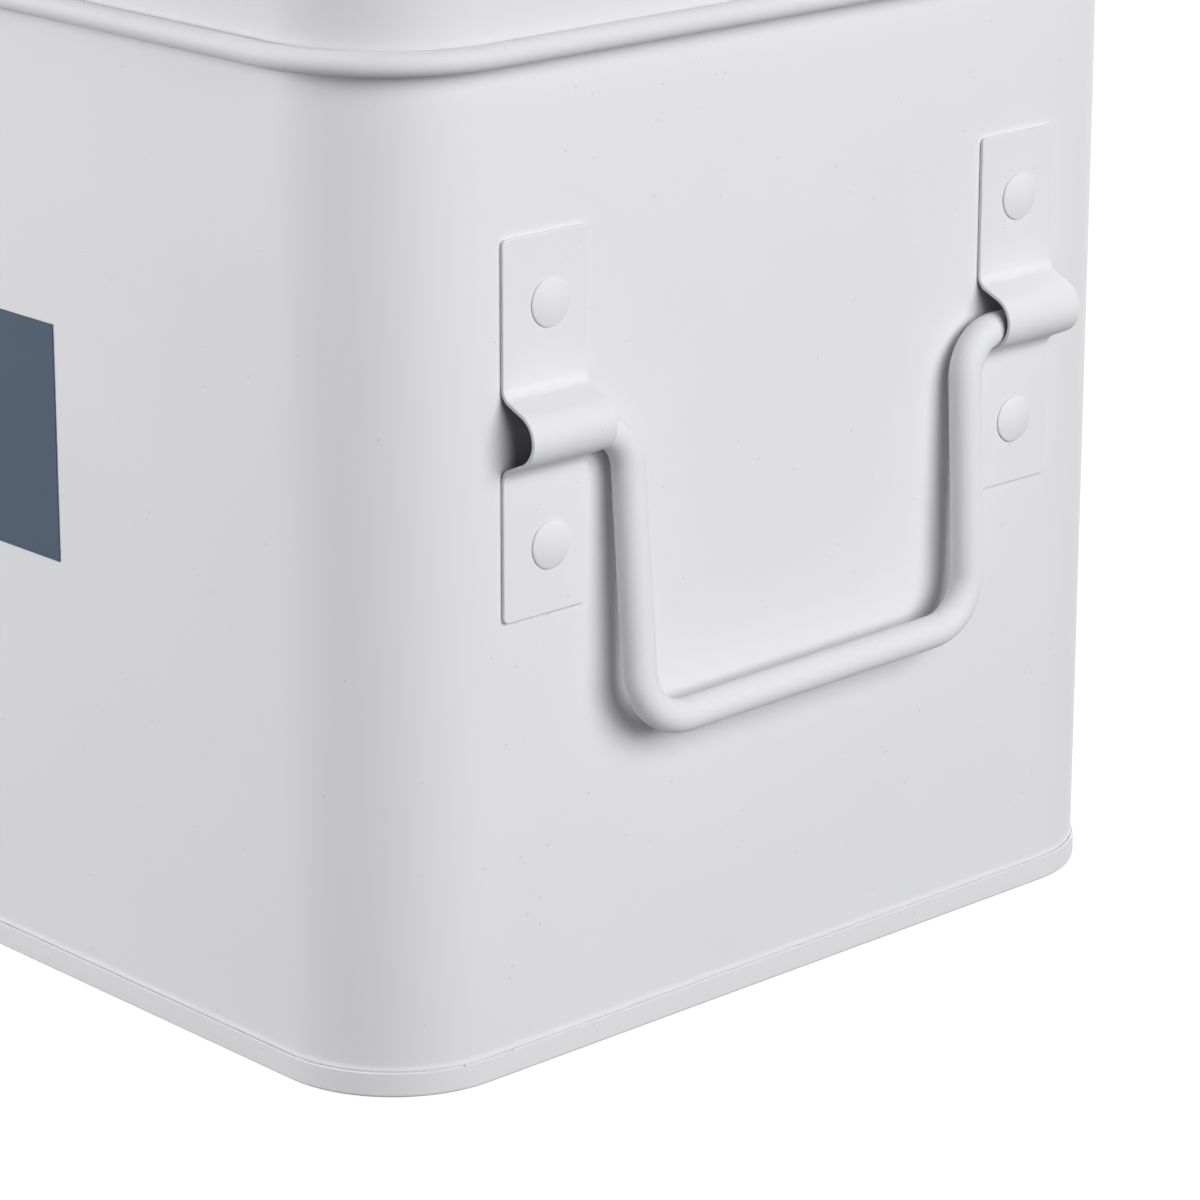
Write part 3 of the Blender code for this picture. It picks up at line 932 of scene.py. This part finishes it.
def make_handle(side, side_sign):
    """Bend one handle along its route, lean it out and set it in its barrels."""
    route = [
        Vector((-WIRE_END, 0)),
        Vector((-LEG_HALF, 0)),
        Vector((-LEG_HALF + LEG_DRAW_IN, -BAR_DEPTH - BAR_TILT / 2)),
        Vector((LEG_HALF - LEG_DRAW_IN, -BAR_DEPTH + BAR_TILT / 2)),
        Vector((LEG_HALF, 0)),
        Vector((WIRE_END, 0)),
    ]
    radii = (TOP_BEND, CORNER_BEND, CORNER_BEND, TOP_BEND)
    work = bmesh.new()
    facing = Matrix.Translation((0, route[0].x, 0)) @ Matrix.Rotation(math.pi / 2, 4, "X")
    bmesh.ops.create_circle(work, segments=WIRE_SIDES, radius=WIRE_RADIUS, matrix=facing)
    edges = list(work.edges)
    for before, corner, after, radius in zip(route, route[1:], route[2:], radii):
        edges = bend_wire(work, edges, before, corner, after, radius)
    push_wire(work, edges, route[-1].x, 0)
    bmesh.ops.holes_fill(work, edges=[edge for edge in work.edges if edge.is_boundary])
    bmesh.ops.recalc_face_normals(work, faces=work.faces)
    lean = Matrix.Rotation(-side_sign * HANDLE_LEAN, 3, "Y")
    bmesh.ops.rotate(work, verts=work.verts, cent=(0, 0, 0), matrix=lean)
    place = (side_sign * (half_width + AXIS_STANDOFF), 0, AXIS_HEIGHT)
    bmesh.ops.translate(work, verts=work.verts, vec=place)
    handle = drawn_piece(f"{side}_bail", work, wire_coat, f"{side}_handle", f"handle_{side}")
    soften_edges(handle, "filed_ends", FILED_EDGE)
    return handle


for side, side_sign in SIDES:
    handle = make_handle(side, side_sign)
    print(handle.name, "faces:", len(handle.data.polygons))

# %% [markdown]
# ## The tray
#
# The tray is a shallow pressed pan. Its flange lies on the wall's curl, under the lid. It is
# drawn and carried round like the other sheets.

# %% Tray
TRAY_DEPTH = 0.0450
TRAY_BEND = 0.0008
TRAY_FLOOR_RADIUS = 0.0030
TRAY_INSET = 0.0044
FLANGE_UNDERSIDE = 0.2063
TRAY_BEND_STEPS = 6
TRAY_FLOOR_STEPS = 10
tray_x = half_width - TRAY_INSET
tray_floor = FLANGE_UNDERSIDE + SHEET - TRAY_DEPTH

tray_work = bmesh.new()
tip = pen_start(tray_work, tray_x - TRAY_FLOOR_RADIUS, tray_floor)
tip = pen_arc(
    tray_work,
    tip,
    tray_x - TRAY_FLOOR_RADIUS,
    tray_floor + TRAY_FLOOR_RADIUS,
    math.pi / 2,
    TRAY_FLOOR_STEPS,
)
tip = pen_line(tray_work, tip, tray_x, FLANGE_UNDERSIDE - TRAY_BEND)
tip = pen_arc(
    tray_work,
    tip,
    tray_x + TRAY_BEND,
    FLANGE_UNDERSIDE - TRAY_BEND,
    -math.pi / 2,
    TRAY_BEND_STEPS,
)
pen_line(tray_work, tip, half_width - CURL_RADIUS, FLANGE_UNDERSIDE)
print("tray faces:", carry_round(tray_work, tray_floor))
tray = drawn_piece("lift_out_tray", tray_work, white_coat, "tray", "tray")
add_sheet(tray, SHEET, -1, PAINTED_EDGE)

# %% [markdown]
# ## The dividers
#
# The dividers are flat plates with notches that lap over each other. The measured plates have
# that shape, so they stay and take the coat.

# %% Dividers
DIVIDERS = ("tray_divider_long", "tray_divider_right", "tray_divider_left")

for node in DIVIDERS:
    for material_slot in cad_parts[node].material_slots:
        material_slot.material = white_coat
print("dividers:", len(DIVIDERS))

# %% [markdown]
# ## Floor and background
#
# The picture is a studio shot on white. More light would bleach the box, so the background is
# white only for the rays that show it: to the camera, in gloss and through glass. To all
# other rays it is dim. The floor is grey, so that it throws little light up on the box, and
# it glows for the same rays, so that it looks white and keeps the box's shadow.

# %% Floor and background
FLOOR_HALF = 6.0
FLOOR_DROP = 0.0002
FLOOR_ROUGHNESS = 0.9
FLOOR_GLOW = 0.94
FLOOR_COLOUR = "6A6A6C"


def seen_rays(tree):
    """Return 1 for rays to the camera, in gloss and through glass, and 0 for the others."""
    path = add_node(tree, "ShaderNodeLightPath", {}, {})
    either = add_node(
        tree,
        "ShaderNodeMath",
        {"operation": "MAXIMUM"},
        {0: path.outputs["Is Camera Ray"], 1: path.outputs["Is Glossy Ray"]},
    )
    seen = add_node(
        tree,
        "ShaderNodeMath",
        {"operation": "MAXIMUM"},
        {0: either.outputs["Value"], 1: path.outputs["Is Transmission Ray"]},
    )
    return seen.outputs["Value"]


floor_work = bmesh.new()
bmesh.ops.create_grid(floor_work, x_segments=1, y_segments=1, size=FLOOR_HALF)
bmesh.ops.translate(floor_work, verts=floor_work.verts, vec=(0, 0, -FLOOR_DROP))
floor_mesh = bpy.data.meshes.new("studio_floor")
floor_work.to_mesh(floor_mesh)
floor_work.free()
floor = bpy.data.objects.new("studio_floor", floor_mesh)
bpy.context.scene.collection.objects.link(floor)

floor_paint = bpy.data.materials.new("white_sweep")
floor_paint.use_nodes = True
floor_tree = floor_paint.node_tree
floor_shader = floor_tree.nodes["Principled BSDF"]
floor_shader.inputs["Base Color"].default_value = colour(FLOOR_COLOUR)
floor_shader.inputs["Roughness"].default_value = FLOOR_ROUGHNESS
floor_shader.inputs["Specular IOR Level"].default_value = 0.0
floor_seen = seen_rays(floor_tree)
floor_glow = add_node(floor_tree, "ShaderNodeEmission", {"Strength": FLOOR_GLOW}, {})
floor_sum = add_node(
    floor_tree,
    "ShaderNodeAddShader",
    {},
    {0: floor_shader.outputs["BSDF"], 1: floor_glow.outputs["Emission"]},
)
floor_mix = add_node(
    floor_tree,
    "ShaderNodeMixShader",
    {},
    {0: floor_seen, 1: floor_shader.outputs["BSDF"], 2: floor_sum.outputs["Shader"]},
)
floor_surface = floor_tree.nodes["Material Output"].inputs["Surface"]
floor_tree.links.new(floor_mix.outputs["Shader"], floor_surface)
floor_mesh.materials.append(floor_paint)
print("floor:", 2 * FLOOR_HALF, "m wide")

# %% World
WORLD_STRENGTH = 0.02
WHITE = colour("FFFFFF")

world = bpy.data.worlds.new("studio")
bpy.context.scene.world = world
world.use_nodes = True
world_tree = world.node_tree
world_fill = world_tree.nodes["Background"]
world_fill.inputs["Color"].default_value = WHITE
world_fill.inputs["Strength"].default_value = WORLD_STRENGTH
world_white = add_node(
    world_tree, "ShaderNodeBackground", {"Color": WHITE, "Strength": 1.0}, {}
)
world_mix = add_node(
    world_tree,
    "ShaderNodeMixShader",
    {},
    {
        0: seen_rays(world_tree),
        1: world_fill.outputs["Background"],
        2: world_white.outputs["Background"],
    },
)
world_surface = world_tree.nodes["World Output"].inputs["Surface"]
world_tree.links.new(world_mix.outputs["Shader"], world_surface)
print("world strength:", WORLD_STRENGTH)

# %% [markdown]
# ## Soft boxes
#
# A wide soft box stands square to the right side, and two stand round to the left of the
# front, so the rounded corner between them turns darker than either face. They aim above the
# box and grids hold their light in, so the faces darken towards the foot. A fourth lights the
# back. Area lamps are used, because their size softens the shadows as a soft box does.

# %% Soft boxes
AIM = Vector((0.10, -0.05, 0.31))
LAMP_DISTANCE = 2.0
LAMP_SPREAD = math.radians(90)
LAMPS = {
    "side_soft_box": {"round": 2, "up": 21, "wide": 1.8, "tall": 1.3, "watts": 13.9},
    "front_left_soft_box": {"round": -141, "up": 8, "wide": 1.2, "tall": 1.2, "watts": 9.1},
    "front_soft_box": {"round": -110, "up": 8, "wide": 1.2, "tall": 1.2, "watts": 3.0},
    "far_soft_box": {"round": 112, "up": 15, "wide": 1.2, "tall": 1.2, "watts": 9.0},
}
for lamp_name, facts in LAMPS.items():
    lamp_data = bpy.data.lights.new(lamp_name, "AREA")
    lamp_data.shape = "RECTANGLE"
    lamp_data.size = facts["wide"]
    lamp_data.size_y = facts["tall"]
    lamp_data.spread = LAMP_SPREAD
    lamp_data.energy = facts["watts"]
    lamp = bpy.data.objects.new(lamp_name, lamp_data)
    aside = math.radians(facts["round"])
    above = math.radians(facts["up"])
    across = LAMP_DISTANCE * math.cos(above)
    rise = LAMP_DISTANCE * math.sin(above)
    lamp.location = AIM + Vector((across * math.cos(aside), across * math.sin(aside), rise))
    lamp.rotation_euler = (AIM - lamp.location).to_track_quat("-Z", "Y").to_euler()
    bpy.context.scene.collection.objects.link(lamp)
    print(lamp_name, facts["watts"], "W")

# %% [markdown]
# ## Finish
#
# The picture keeps the Standard view transform, and the scene is brought up to date. The
# dressed box must stay inside the measured box.

# %% The view and the end
bpy.context.scene.view_settings.view_transform = "Standard"
bpy.context.view_layer.update()
